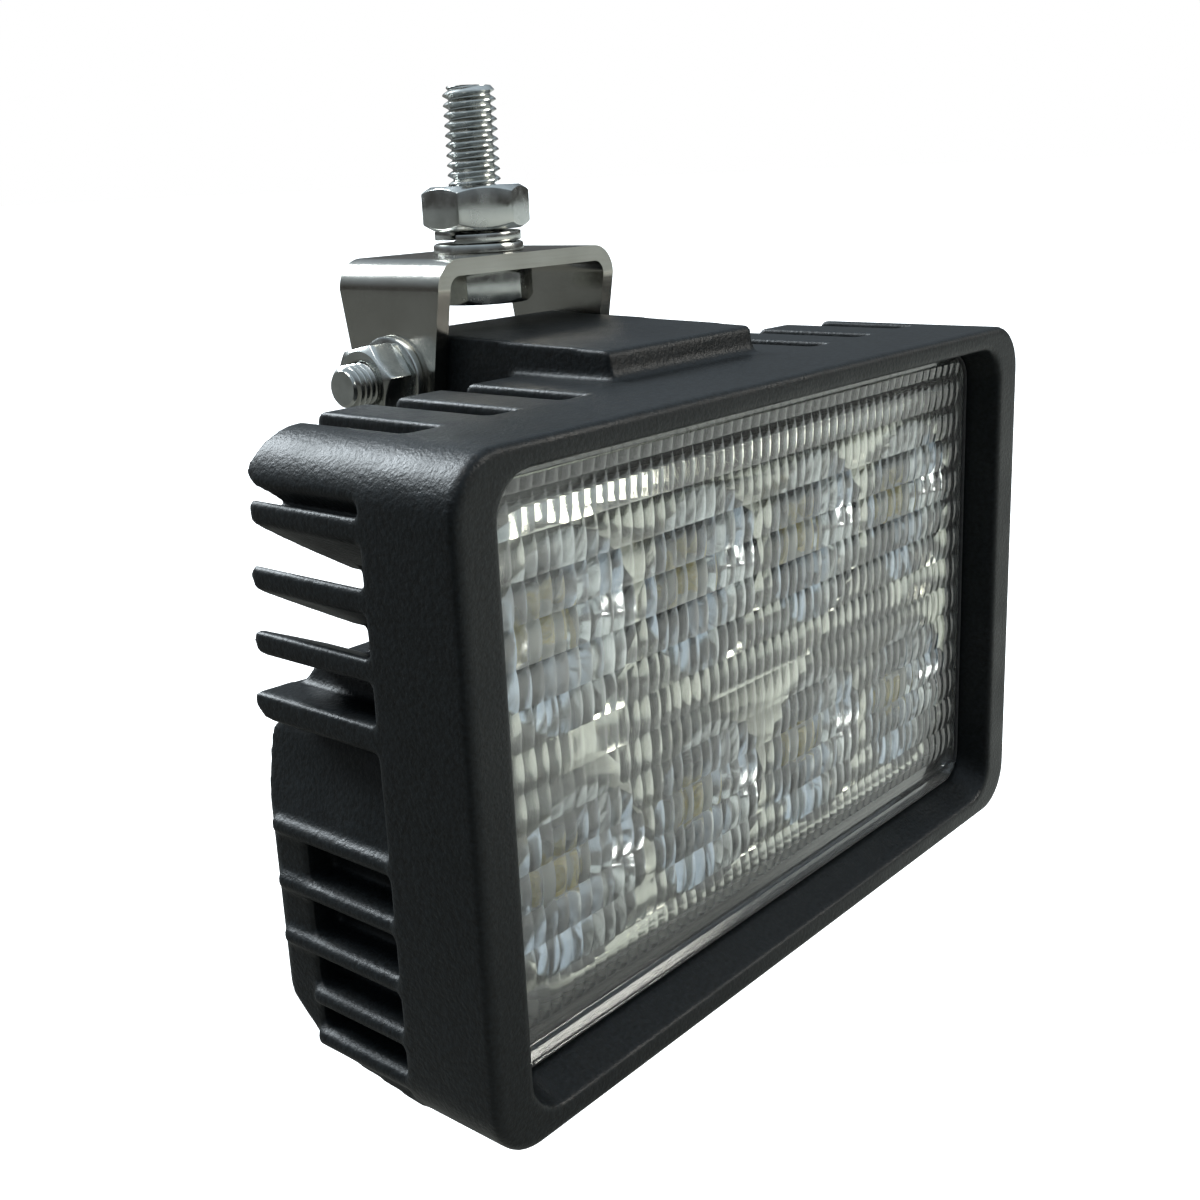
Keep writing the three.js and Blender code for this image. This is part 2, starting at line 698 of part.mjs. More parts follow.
// ---- bracket, measured from the origin ----------------------------------------------------
function bracket() {
  const { halfWidth, topHalf, lowHalf, bend } = BRACKET;
  const inner = halfWidth - SHEET;
  const foot = PIVOT_Z - lowHalf;
  const section = new THREE.Shape();
  section.moveTo(-halfWidth, foot);
  section.lineTo(-inner, foot);
  section.lineTo(-inner, -bend);
  section.absarc(-halfWidth + bend, -bend, bend - SHEET, Math.PI, Math.PI / 2, true);
  section.lineTo(halfWidth - bend, -SHEET);
  section.absarc(halfWidth - bend, -bend, bend - SHEET, Math.PI / 2, 0, true);
  section.lineTo(inner, foot);
  section.lineTo(halfWidth, foot);
  section.lineTo(halfWidth, -bend);
  section.absarc(halfWidth - bend, -bend, bend, 0, Math.PI / 2);
  section.lineTo(-halfWidth + bend, 0);
  section.absarc(-halfWidth + bend, -bend, bend, Math.PI / 2, Math.PI);
  const blank = prismY(section, -topHalf, topHalf, 8);
  const leg = new THREE.Shape(); // (y, z) outline of both legs, with round lower ends
  leg.moveTo(topHalf, OVER);
  leg.lineTo(-topHalf, OVER);
  leg.lineTo(-topHalf, -bend);
  leg.lineTo(-lowHalf, PIVOT_Z);
  leg.absarc(0, PIVOT_Z, lowHalf, Math.PI, TAU);
  leg.lineTo(topHalf, -bend);
  return cut(
    blank.intersect(prismX(leg, -halfWidth - OVER, halfWidth + OVER, 24)),
    rod("x", M8.radius + CLEAR, -HALF, HALF, 0, PIVOT_Z, 32),
    rod("z", M10.radius + CLEAR, -10, OVER, 0, 0, 32),
  );
}

// ---- fasteners ----------------------------------------------------------------------------
function ring(axis, outer, inner, from, to, v) {
  return cut(
    rod(axis, outer, from, to, 0, v, 32),
    rod(axis, inner, from - OVER, to + OVER, 0, v, 32),
  );
}

// Split spring washer on the stud: a ring with one slanting cut.
function springWasher(from, to) {
  const body = ring("z", M10.springWasher, M10.radius + CLEAR, from, to, 0);
  const gap = new THREE.BoxGeometry(0.9, 12, 12).rotateZ(0.5);
  gap.rotateX(Math.PI / 2).translate(0, -9, (from + to) / 2);
  return cut(body, solid(gap));
}

function nut(axis, size, from, v, turn) {
  const to = from + size.nut;
  const hex = hexBar(axis, size.across, from, to, 0, v, turn);
  return cut(hex, rod(axis, size.radius + 0.1, from - OVER, to + OVER, 0, v, 32));
}

// Shank end with a small lead chamfer.
function shank(axis, radius, from, to, v, endSign) {
  const lead = 1;
  const tip = new THREE.CylinderGeometry(
    endSign > 0 ? radius - lead : radius,
    endSign > 0 ? radius : radius - lead,
    lead,
    32,
  );
  tip.translate(0, endSign > 0 ? to - lead / 2 : from + lead / 2, 0);
  if (axis === "x") tip.rotateZ(-Math.PI / 2).translate(0, 0, v);
  if (axis === "z") tip.rotateX(Math.PI / 2).translate(0, v, 0);
  const start = endSign > 0 ? from : from + lead;
  const stop = endSign > 0 ? to - lead : to;
  return join(rod(axis, radius, start, stop, 0, v, 32), solid(tip));
}

const PLATE_TOP = 0;
const LEG_OUT = BRACKET.halfWidth;
const NUT_TURN = -0.075;
const PIVOT_NUT_TURN = 0.2;

function studBolt() {
  const under = PLATE_TOP - SHEET;
  const head = hexBar("z", M10.across, under - M10.head, under, 0, 0, 0);
  return join(head, shank("z", M10.radius, under - OVER, STUD_TOP, 0, 1));
}

// Pivot bolt: head on the +X leg, threaded end past the nut on the -X leg.
function pivotBolt() {
  const seat = LEG_OUT + M8.flat;
  const head = hexBar("x", M8.across, seat, seat + M8.head, 0, PIVOT_Z, 0.4);
  const end = -seat - M8.nut - M8.past;
  return join(head, shank("x", M8.radius, end, seat + OVER, PIVOT_Z, -1));
}

// ---- assembly -----------------------------------------------------------------------------
const group = new THREE.Group();
const lamp = new THREE.Group();
lamp.position.set(0, FRONT_Y, TOP_Z);
group.add(lamp);

function place(parent, name, body, material) {
  const mesh = new THREE.Mesh(geometryOf(body), material);
  mesh.name = name;
  parent.add(mesh);
}

place(lamp, "housing", housing(), castBlack);
place(lamp, "lens", lens(), clearLens);
place(lamp, "lens_seal", lensSeal(), rubber);
place(lamp, "reflector", reflector(), chromeCup);
place(lamp, "led_board", ledBoard(), whiteBoard);
place(lamp, "thermal_pad", thermalPad(), padGrey);
cupCentres().forEach(([x, z], i) => place(lamp, `led_${i + 1}`, led(x, z), ledYellow));
BOARD_SCREWS.forEach(([x, z], i) => {
  place(lamp, `board_screw_${i + 1}`, panScrew(x, z, BOARD_FRONT, 4.5), zinc);
});
place(lamp, "driver_cover", driverCover(), castBlack);
place(lamp, "cover_gasket", coverGasket(), rubber);
COVER_SCREWS.forEach(([x, z], i) => {
  place(lamp, `cover_screw_${i + 1}`, coverScrew(x, z), stainless);
});
place(lamp, "vent_plug", ventPlug(), nylon);
place(lamp, "driver_board", driverBoard(), greenBoard);
SPACERS.forEach((x, i) => place(lamp, `board_spacer_${i + 1}`, spacer(x), zinc));
place(lamp, "driver_choke", choke(), partBlack);
CAPACITOR.x.forEach((x, i) => place(lamp, `driver_capacitor_${i + 1}`, capacitor(x), zinc));
place(lamp, "driver_controller", controller(), partBlack);
place(lamp, "gland_body", glandBody(), nylon);
place(lamp, "gland_nut", glandNut(), nylon);
place(lamp, "gland_seal", glandSeal(), rubber);

place(group, "bracket", bracket(), stainless);
place(group, "pivot_bolt", pivotBolt(), zinc);
place(
  group,
  "pivot_washer_left",
  ring("x", M8.flatWasher, M8.radius + CLEAR, -LEG_OUT - M8.flat, -LEG_OUT, PIVOT_Z),
  zinc,
);
place(
  group,
  "pivot_washer_right",
  ring("x", M8.flatWasher, M8.radius + CLEAR, LEG_OUT, LEG_OUT + M8.flat, PIVOT_Z),
  zinc,
);
const pivotNutFace = -LEG_OUT - M8.flat - M8.nut;
place(group, "pivot_nut", nut("x", M8, pivotNutFace, PIVOT_Z, PIVOT_NUT_TURN), zinc);

place(group, "stud_bolt", studBolt(), stainless);
place(
  group,
  "stud_washer",
  ring("z", M10.flatWasher, M10.radius + CLEAR, PLATE_TOP, PLATE_TOP + M10.flat, 0),
  zinc,
);
const springSeat = PLATE_TOP + M10.flat;
const nutSeat = springSeat + M10.spring;
place(group, "stud_spring_washer", springWasher(springSeat, nutSeat), zinc);
place(group, "stud_nut", nut("z", M10, nutSeat, 0, NUT_TURN), zinc);

export default group;
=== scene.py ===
"""The looks of an LED fog and work light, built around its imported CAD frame. Metres, +Z up."""

import json
import math

import bmesh
import bpy
from mathutils import Matrix, Vector


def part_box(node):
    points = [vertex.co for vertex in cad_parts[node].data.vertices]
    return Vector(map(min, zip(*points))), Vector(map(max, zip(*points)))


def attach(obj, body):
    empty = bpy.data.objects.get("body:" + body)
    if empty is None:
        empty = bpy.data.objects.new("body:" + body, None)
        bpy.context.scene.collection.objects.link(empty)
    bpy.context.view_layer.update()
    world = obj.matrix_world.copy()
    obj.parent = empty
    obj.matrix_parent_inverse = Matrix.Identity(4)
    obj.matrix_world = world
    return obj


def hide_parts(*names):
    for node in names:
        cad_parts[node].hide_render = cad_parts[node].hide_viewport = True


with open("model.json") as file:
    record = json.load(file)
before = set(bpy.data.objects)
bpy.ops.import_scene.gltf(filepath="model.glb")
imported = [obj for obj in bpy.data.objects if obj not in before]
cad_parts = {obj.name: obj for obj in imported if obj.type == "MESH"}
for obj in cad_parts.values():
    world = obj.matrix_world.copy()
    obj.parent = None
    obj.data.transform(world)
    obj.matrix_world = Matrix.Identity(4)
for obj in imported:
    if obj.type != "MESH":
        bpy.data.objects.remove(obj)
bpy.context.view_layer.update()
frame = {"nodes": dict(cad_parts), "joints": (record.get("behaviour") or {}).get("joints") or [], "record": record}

MM = 0.001
TAU = 2 * math.pi

# ---- places and sizes, from the frame -------------------------------------------------------
LENS_LOW, LENS_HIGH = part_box("lens")
TRAY_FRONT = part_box("reflector")[0].y
BRACKET_LOW, BRACKET_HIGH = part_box("bracket")
PIVOT = Vector(next(j for j in frame["joints"] if j["name"] == "lamp_tilt")["pos_m"])
SHEET = 3 * MM  # thickness of the bracket's steel
BEND = 5.5 * MM  # outer radius of the bracket's two bends

# ---- fasteners, as measured in the photo; the pitch of the M8 thread is the coarse one ------
M10 = {"radius": 5 * MM, "across": 18 * MM, "head": 6.4 * MM, "pitch": 1.78 * MM}
M8 = {"radius": 4 * MM, "across": 13 * MM, "head": 5.3 * MM, "pitch": 1.25 * MM}
HOLE_GAP = 0.3 * MM  # between a shank and the hole it passes through
NUT_GAP = 0.05 * MM  # between a thread's crests and its nut
THREAD_INSET = 0.02 * MM  # keeps the thread inside the CAD shank
INTO_HEAD = 0.5 * MM  # how far a shank starts inside its bolt's head
CLAMP_NUT_TURN = -0.075  # how far each hexagon is turned round its bolt, in radians
TILT_NUT_TURN = 0.2
TILT_HEAD_TURN = 0.4
SPLIT_AT = math.radians(190)  # where the spring washer is cut
NUT_FACE = 0.93  # round end face as a share of the width across flats
HEAD_FACE = 0.985
WASHER_SIDES = 72
FASTENER_SMOOTH = 24  # degrees; a larger angle makes the flat faces look domed

# ---- lens relief ----------------------------------------------------------------------------
COLUMNS = 52
BANDS = 13
BAND = 6.33 * MM  # height of one band
FLUTE = 0.45 * MM  # how far a flute stands out of the valley beside it
CROWN = 0.38 * MM  # how far the middle of a band stands out of the groove under it
LENS_CORNER = 5 * MM


# ---- mesh tools -----------------------------------------------------------------------------
def new_object(name, mesh):
    piece = bpy.data.objects.new(name, mesh)
    bpy.context.scene.collection.objects.link(piece)
    return piece


def mesh_piece(name, verts, faces):
    mesh = bpy.data.meshes.new(name)
    mesh.from_pydata([tuple(v) for v in verts], [], faces)
    mesh.validate()
    return new_object(name, mesh)


def bm_piece(name, bm, outward=True):
    if outward:
        bmesh.ops.recalc_face_normals(bm, faces=bm.faces)
    mesh = bpy.data.meshes.new(name)
    bm.to_mesh(mesh)
    bm.free()
    return new_object(name, mesh)


def tidied(piece, merge=True):
    """Merges points that coincide, and turns every face outwards."""
    bm = bmesh.new()
    bm.from_mesh(piece.data)
    if merge:
        bmesh.ops.remove_doubles(bm, verts=bm.verts, dist=1e-7)
    bmesh.ops.recalc_face_normals(bm, faces=bm.faces)
    bm.to_mesh(piece.data)
    bm.free()
    return piece


def quads(rows, columns, wrap=False):
    """Faces between rows of points; wrap joins each row's last point to its first."""
    faces = []
    for j in range(rows - 1):
        for i in range(columns if wrap else columns - 1):
            here = j * columns
            there = here + columns
            n = (i + 1) % columns
            faces.append((here + i, here + n, there + n, there + i))
    return faces


def apply_modifiers(piece):
    graph = bpy.context.evaluated_depsgraph_get()
    mesh = bpy.data.meshes.new_from_object(piece.evaluated_get(graph))
    piece.modifiers.clear()
    piece.data = mesh
    return piece


def smooth(piece, degrees=35):
    """Shades smoothly over edges flatter than this angle."""
    piece.data.shade_smooth()
    piece.data.set_sharp_from_angle(angle=math.radians(degrees))
    return piece


def bevel(piece, width, segments=2, degrees=28):
    rounding = piece.modifiers.new("edges", "BEVEL")
    rounding.width = width
    rounding.segments = segments
    rounding.limit_method = "ANGLE"
    rounding.angle_limit = math.radians(degrees)
    rounding.use_clamp_overlap = True
    rounding.harden_normals = False
    return apply_modifiers(piece)


def finish_piece(piece, body, slot, material, *nodes):
    """Gives a piece its material and body, and hides the CAD nodes it stands for. The slot argument is not used.
    """
    piece.data.materials.clear()
    piece.data.materials.append(material)
    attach(piece, body)
    if nodes:
        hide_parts(*nodes)
    return piece


def copy_of(node, name):
    """A new piece with a CAD node's shape, its vertices merged and its flat faces whole."""
    mesh = frame["nodes"][node].data.copy()
    mesh.name = name
    bm = bmesh.new()
    bm.from_mesh(mesh)
    bmesh.ops.remove_doubles(bm, verts=bm.verts, dist=0.002 * MM)
    flat = math.radians(0.8)
    bmesh.ops.dissolve_limit(bm, angle_limit=flat, verts=bm.verts, edges=bm.edges)
    bm.to_mesh(mesh)
    bm.free()
    return new_object(name, mesh)


def refined(node, name, width):
    """A CAD shape with its edges rounded."""
    return smooth(bevel(copy_of(node, name), width))


# ---- shader tools ---------------------------------------------------------------------------
def set_stops(ramp, stops):
    while len(ramp.elements) < len(stops):
        ramp.elements.new(0.5)
    for element, (place, color) in zip(ramp.elements, stops):
        element.position = place
        element.color = (*color, 1)


class Shader:
    """A node material under construction."""

    def __init__(self, name, color, roughness, metallic=0.0):
        self.material = bpy.data.materials.new(name)
        self.material.use_nodes = True
        self.tree = self.material.node_tree
        self.bsdf = self.tree.nodes["Principled BSDF"]
        self.bsdf.inputs["Base Color"].default_value = (*color, 1)
        self.bsdf.inputs["Roughness"].default_value = roughness
        self.bsdf.inputs["Metallic"].default_value = metallic
        coords = self.tree.nodes.new("ShaderNodeTexCoord")
        self.place = coords.outputs["Object"]

    def stretched(self, scale):
        """Object coordinates, scaled unevenly."""
        node = self.tree.nodes.new("ShaderNodeMapping")
        node.inputs["Scale"].default_value = scale
        self.tree.links.new(self.place, node.inputs["Vector"])
        return node.outputs["Vector"]

    def noise(self, scale, detail=2.0, roughness=0.5, vector=None):
        node = self.tree.nodes.new("ShaderNodeTexNoise")
        node.inputs["Scale"].default_value = scale
        node.inputs["Detail"].default_value = detail
        node.inputs["Roughness"].default_value = roughness
        self.tree.links.new(vector or self.place, node.inputs["Vector"])
        return node.outputs["Fac"]

    def cells(self, scale, vector=None):
        node = self.tree.nodes.new("ShaderNodeTexVoronoi")
        node.inputs["Scale"].default_value = scale
        self.tree.links.new(vector or self.place, node.inputs["Vector"])
        return node.outputs["Distance"]

    def ramp(self, value, stops):
        node = self.tree.nodes.new("ShaderNodeValToRGB")
        set_stops(node.color_ramp, stops)
        self.tree.links.new(value, node.inputs["Fac"])
        return node.outputs["Color"]

    def map_range(self, value, start, stop, low=0.0, high=1.0):
        node = self.tree.nodes.new("ShaderNodeMapRange")
        for socket, number in (
            ("From Min", start),
            ("From Max", stop),
            ("To Min", low),
            ("To Max", high),
        ):
            node.inputs[socket].default_value = number
        self.tree.links.new(value, node.inputs["Value"])
        return node.outputs["Result"]

    def spread(self, noise, low, high):
        """Carries a noise's usual range over to another range."""
        return self.map_range(noise, 0.3, 0.7, low, high)

    def reach(self, direction, near, far):
        """0 at one distance from the origin in this direction, rising to 1 at another."""
        dot = self.tree.nodes.new("ShaderNodeVectorMath")
        dot.operation = "DOT_PRODUCT"
        dot.inputs[1].default_value = direction
        self.tree.links.new(self.place, dot.inputs[0])
        return self.map_range(dot.outputs["Value"], near, far)

    def mix(self, factor, first, second):
        node = self.tree.nodes.new("ShaderNodeMix")
        node.data_type = "RGBA"
        # a colour mix has its factor at 0, its colours at 6 and 7, and its result at 2
        for value, socket in ((factor, 0), (first, 6), (second, 7)):
            self.tree.links.new(value, node.inputs[socket])
        return node.outputs[2]

    def link(self, value, socket):
        self.tree.links.new(value, self.bsdf.inputs[socket])

    def bump(self, height, strength, distance, below=None):
        node = self.tree.nodes.new("ShaderNodeBump")
        node.inputs["Strength"].default_value = strength
        node.inputs["Distance"].default_value = distance
        self.tree.links.new(height, node.inputs["Height"])
        if below is not None:
            self.tree.links.new(below, node.inputs["Normal"])
        return node.outputs["Normal"]


def powder_coat():
    """Satin black powder coat with a fine sandy grain."""
    s = Shader("powder_coat", (0.012, 0.013, 0.014), 0.42)
    s.bsdf.inputs["Specular IOR Level"].default_value = 0.22
    grain = s.noise(1300, 3, 0.6)
    swell = s.noise(90, 2)
    tone = s.ramp(grain, [(0.3, (0.003, 0.0034, 0.0034)), (0.72, (0.0095, 0.0122, 0.0138))])
    s.link(tone, "Base Color")
    s.link(s.spread(swell, 0.36, 0.48), "Roughness")
    wide = s.bump(s.noise(420, 2), 0.15, 0.2 * MM)
    s.link(s.bump(grain, 0.8, 0.16 * MM, wide), "Normal")
    return s.material


def stainless():
    """Pressed stainless sheet: fine lines along X, faint smudges."""
    s = Shader("stainless", (0.6, 0.59, 0.56), 0.24, 1.0)
    lines = s.noise(1, 3, 0.6, s.stretched((40, 1500, 1500)))
    smudge = s.noise(70, 3)
    tone = s.ramp(smudge, [(0.3, (0.35, 0.34, 0.305)), (0.7, (0.45, 0.44, 0.405))])
    s.link(tone, "Base Color")
    s.link(s.spread(lines, 0.16, 0.24), "Roughness")
    s.link(s.bump(lines, 0.05, 0.02 * MM), "Normal")
    return s.material


def zinc():
    """Bright zinc plate with a light haze."""
    s = Shader("zinc", (0.72, 0.74, 0.75), 0.2, 1.0)
    haze = s.noise(260, 4, 0.6)
    tone = s.ramp(haze, [(0.25, (0.4, 0.41, 0.39)), (0.75, (0.58, 0.59, 0.57))])
    s.link(tone, "Base Color")
    s.link(s.spread(haze, 0.12, 0.3), "Roughness")
    s.link(s.bump(s.noise(900, 2), 0.06, 0.03 * MM), "Normal")
    return s.material


def moulded(name, dark, light, roughness, grain=1100):
    """Moulded rubber or plastic with a fine grain."""
    s = Shader(name, dark, roughness)
    speck = s.noise(grain, 2)
    s.link(s.ramp(speck, [(0.3, dark), (0.7, light)]), "Base Color")
    s.link(s.spread(s.noise(180, 2), roughness - 0.06, roughness + 0.06), "Roughness")
    s.link(s.bump(speck, 0.2, 0.05 * MM), "Normal")
    return s.material


def chrome():
    """Vacuum-metallised plastic: bright bowls in a front face painted duller and warmer, a painted reflection of
    warm surroundings.
    """
    s = Shader("reflector_chrome", (0.86, 0.87, 0.88), 0.06, 1.0)
    cloud = s.noise(120, 3)
    bright = s.ramp(cloud, [(0.3, (0.8, 0.82, 0.84)), (0.7, (0.92, 0.93, 0.94))])
    # painted reflection: the front face is painted darker and warmer than the bowls, standing in for warm
    # surroundings
    painted_warm_reflection = s.ramp(cloud, [(0.3, (0.54, 0.535, 0.48)), (0.7, (0.66, 0.655, 0.6))])
    inside = s.reach((0, 1, 0), TRAY_FRONT + 0.1 * MM, TRAY_FRONT + 0.5 * MM)
    s.link(s.mix(inside, painted_warm_reflection, bright), "Base Color")
    s.link(s.spread(cloud, 0.06, 0.12), "Roughness")
    s.link(s.bump(s.noise(420, 2), 0.05, 0.05 * MM), "Normal")
    return s.material


def clear_lens():
    """Clear polycarbonate, a little hazy, with a hard gloss coat."""
    s = Shader("clear_lens", (0.95, 0.97, 0.955), 0.1)
    s.bsdf.inputs["Transmission Weight"].default_value = 0.97
    s.bsdf.inputs["IOR"].default_value = 1.58
    s.bsdf.inputs["Coat Weight"].default_value = 0.6
    s.bsdf.inputs["Coat Roughness"].default_value = 0.03
    s.link(s.spread(s.noise(600, 2), 0.05, 0.09), "Roughness")
    s.link(s.bump(s.noise(260, 2), 0.04, 0.04 * MM), "Normal")
    return s.material


def board(name, dark, light):
    """Solder mask with a faint pattern of tracks."""
    s = Shader(name, dark, 0.35)
    tracks = s.cells(240, s.stretched((1, 0.2, 2.2)))
    s.link(s.ramp(tracks, [(0.25, dark), (0.5, light)]), "Base Color")
    s.link(s.spread(tracks, 0.3, 0.45), "Roughness")
    s.link(s.bump(tracks, 0.2, 0.03 * MM), "Normal")
    return s.material


def phosphor():
    """Yellow phosphor under clear silicone."""
    s = Shader("led_phosphor", (0.85, 0.7, 0.2), 0.3)
    dots = s.noise(2600, 2)
    s.link(s.ramp(dots, [(0.3, (0.78, 0.6, 0.12)), (0.7, (0.95, 0.85, 0.4))]), "Base Color")
    s.bsdf.inputs["Coat Weight"].default_value = 0.8
    return s.material


MATERIALS = {
    "powder_coat": powder_coat(),
    "stainless": stainless(),
    "zinc": zinc(),
    "rubber": moulded("rubber", (0.018, 0.018, 0.019), (0.035, 0.035, 0.036), 0.6),
    "nylon": moulded("nylon", (0.02, 0.021, 0.022), (0.034, 0.035, 0.037), 0.42),
    "electronics": moulded("electronics", (0.02, 0.02, 0.022), (0.04, 0.04, 0.042), 0.5, 1800),
    "thermal_pad": moulded("thermal_pad", (0.4, 0.42, 0.44), (0.52, 0.54, 0.56), 0.8),
    "capacitor_can": moulded("capacitor_can", (0.6, 0.61, 0.62), (0.75, 0.76, 0.77), 0.35),
    "reflector": chrome(),
    "lens": clear_lens(),
    "led_board": board("white_board", (0.7, 0.71, 0.68), (0.86, 0.87, 0.83)),
    "driver_board": board("green_board", (0.02, 0.13, 0.05), (0.04, 0.22, 0.09)),
    "led": phosphor(),
}


# ---- housing --------------------------------------------------------------------------------
def housing_casting():
    """The casting: the CAD shell remeshed finely, so that every edge is softly rounded."""
    piece = copy_of("housing", "housing_casting")
    even = piece.modifiers.new("even", "REMESH")
    even.mode = "VOXEL"
    even.voxel_size = 0.55 * MM  # fine enough for the thinnest ribs
    soft = piece.modifiers.new("soft", "SMOOTH")
    soft.factor = 0.5
    soft.iterations = 4
    thin = piece.modifiers.new("thin", "DECIMATE")
    thin.ratio = 0.3  # flat areas need few triangles
    apply_modifiers(piece)
    piece.data.shade_smooth()
    return finish_piece(piece, "lamp", "powder_coat", MATERIALS["powder_coat"], "housing")


# ---- light chamber --------------------------------------------------------------------------
def evenly(start, stop, count):
    return [start + (stop - start) * k / count for k in range(count)]


def fluted_lens():
    """Lens with pillow-shaped flutes side by side in bands, inside a flat border."""
    steps = 6  # grid steps across one flute or one band
    part_band = 3  # steps of one more band, up to the frame's lip
    low, high = LENS_LOW, LENS_HIGH
    centre = (low + high) / 2
    half_x = (high.x - low.x) / 2
    half_z = (high.z - low.z) / 2
    field = half_x - 1.4 * MM  # half the width of the fluted field
    field_top = half_z - 2.9 * MM
    field_low = field_top - BANDS * BAND
    strip = -half_z + 2.6 * MM  # upper edge of the raised strip under the field
    face = low.y + 0.02 * MM
    base = face + FLUTE + CROWN

    # grid lines: (place, share across one flute or band, or None in the border)
    step = 0.05 * MM  # between the field and its border
    across = [(-half_x, None), (-field - step, None)]
    for k, x in enumerate(evenly(-field, field, COLUMNS * steps)):
        across.append((x, (k % steps) / steps * 2 - 1))
    across += [(field, -1.0), (field + step, None), (half_x, None)]
    upright = [(-half_z, None), (strip - 0.2 * MM, None), (strip, None)]
    upright.append((field_low - step, None))
    for k, z in enumerate(evenly(field_low, field_top, BANDS * steps)):
        upright.append((z, (k % steps) / steps * 2 - 1))
    for k in range(part_band):
        upright.append((field_top + BAND * k / steps, k / steps * 2 - 1))
    upright += [(upright[-1][0] + step, None), (half_z, None)]

    def squeeze(x, z):
        """Pulls the square grid's corners in to the lens's round corners."""
        dx = abs(x) - (half_x - LENS_CORNER)
        dz = abs(z) - (half_z - LENS_CORNER)
        if dx <= 0 or dz <= 0:
            return x, z
        scale = max(dx, dz) / math.hypot(dx, dz)
        return (
            math.copysign(half_x - LENS_CORNER + dx * scale, x),
            math.copysign(half_z - LENS_CORNER + dz * scale, z),
        )

    def surface(u, v, z):
        """Depth of the lens's front, u across a flute and v up a band, both from -1 to 1."""
        if z < strip - 0.1 * MM:
            return face
        if u is None or v is None:
            return base
        swell = 1 - v * v
        arch = math.sqrt(1 - 0.7 * u * u)
        return base - FLUTE * arch * (0.85 + 0.15 * swell) - CROWN * swell

    verts = []
    for z, v in upright:
        for x, u in across:
            sx, sz = squeeze(x, z)
            verts.append((centre.x + sx, surface(u, v, z), centre.z + sz))
    wide = len(across)
    tall = len(upright)
    faces = quads(tall, wide)

    # the rim and the flat back, along the grid's border in order
    border = list(range(wide))
    border += [j * wide + wide - 1 for j in range(1, tall)]
    border += [(tall - 1) * wide + i for i in range(wide - 2, -1, -1)]
    border += [j * wide for j in range(tall - 2, 0, -1)]
    start = len(verts)
    for index in border:
        x, _, z = verts[index]
        verts.append((x, high.y, z))
    count = len(border)
    for k in range(count):
        n = (k + 1) % count
        faces.append((border[k], start + k, start + n, border[n]))
    faces.append(tuple(start + k for k in range(count)))
    piece = smooth(mesh_piece("fluted_lens", verts, faces), 24)
    return finish_piece(piece, "lamp", "lens", MATERIALS["lens"], "lens")


def reflector_tray():
    """The tray of eight bowls."""
    tray = smooth(bevel(copy_of("reflector", "reflector_tray"), 0.3 * MM, degrees=40), 30)
    return finish_piece(tray, "lamp", "reflector", MATERIALS["reflector"], "reflector")


# ---- fasteners ------------------------------------------------------------------------------
AXES = {
    "x": Matrix(((0, 0, 1, 0), (0, 1, 0, 0), (-1, 0, 0, 0), (0, 0, 0, 1))),
    "-x": Matrix(((0, 0, -1, 0), (0, 1, 0, 0), (1, 0, 0, 0), (0, 0, 0, 1))),
    "z": Matrix.Identity(4),
}


def laid(piece, axis, centre):
    """Turns a piece made round Z to lie along the named axis through a point."""
    piece.data.transform(Matrix.Translation(centre) @ AXES[axis])
    return piece


def threaded_bar(name, radius, low, high, pitch, sides=48):
    """A bar round Z with a rolled thread, cut square at both ends."""
    # groove depth over one pitch, as shares of the thread's depth
    groove = [0.0, 0.06, 0.28, 0.62, 0.94, 1.0, 0.72, 0.36]
    steps = len(groove)
    depth = 0.61 * pitch
    lead = 1.0 * MM  # length of the taper at the end
    taper = 0.9
    rows = int((high - low) / pitch + 3) * steps
    start = low - 1.5 * pitch
    bm = bmesh.new()
    points = []
    for j in range(rows + steps):
        for i in range(sides):
            turn = i / sides
            z = start + pitch * (j / steps + turn)
            r = radius - depth * groove[j % steps]
            r = min(r, radius - max(0, z - (high - lead)) * taper)
            place = (r * math.cos(TAU * turn), r * math.sin(TAU * turn), z)
            points.append(bm.verts.new(place))
    for j in range(rows - 1):
        for i in range(sides):
            a = j * sides + i
            # the last column joins the first one a whole pitch further up
            b = a + 1 if i < sides - 1 else (j + steps) * sides
            bm.faces.new([points[k] for k in (a, b, b + sides, a + sides)])
    for height, sign in ((low, -1), (high, 1)):
        bmesh.ops.bisect_plane(
            bm,
            geom=bm.verts[:] + bm.edges[:] + bm.faces[:],
            plane_co=(0, 0, height),
            plane_no=(0, 0, sign),
            clear_outer=True,
        )
    loose = [v for v in bm.verts if not v.link_faces]
    bmesh.ops.delete(bm, geom=loose, context="VERTS")
    rims = [e for e in bm.edges if e.is_boundary]
    bmesh.ops.holes_fill(bm, edges=rims, sides=0)
    return bm_piece(name, bm)


def hex_outline(across, angle):
    """Distance from the centre to a hexagon's side in this direction."""
    sixth = TAU / 6
    off_flat = (angle + sixth / 2) % sixth - sixth / 2
    return across / 2 / math.cos(off_flat)


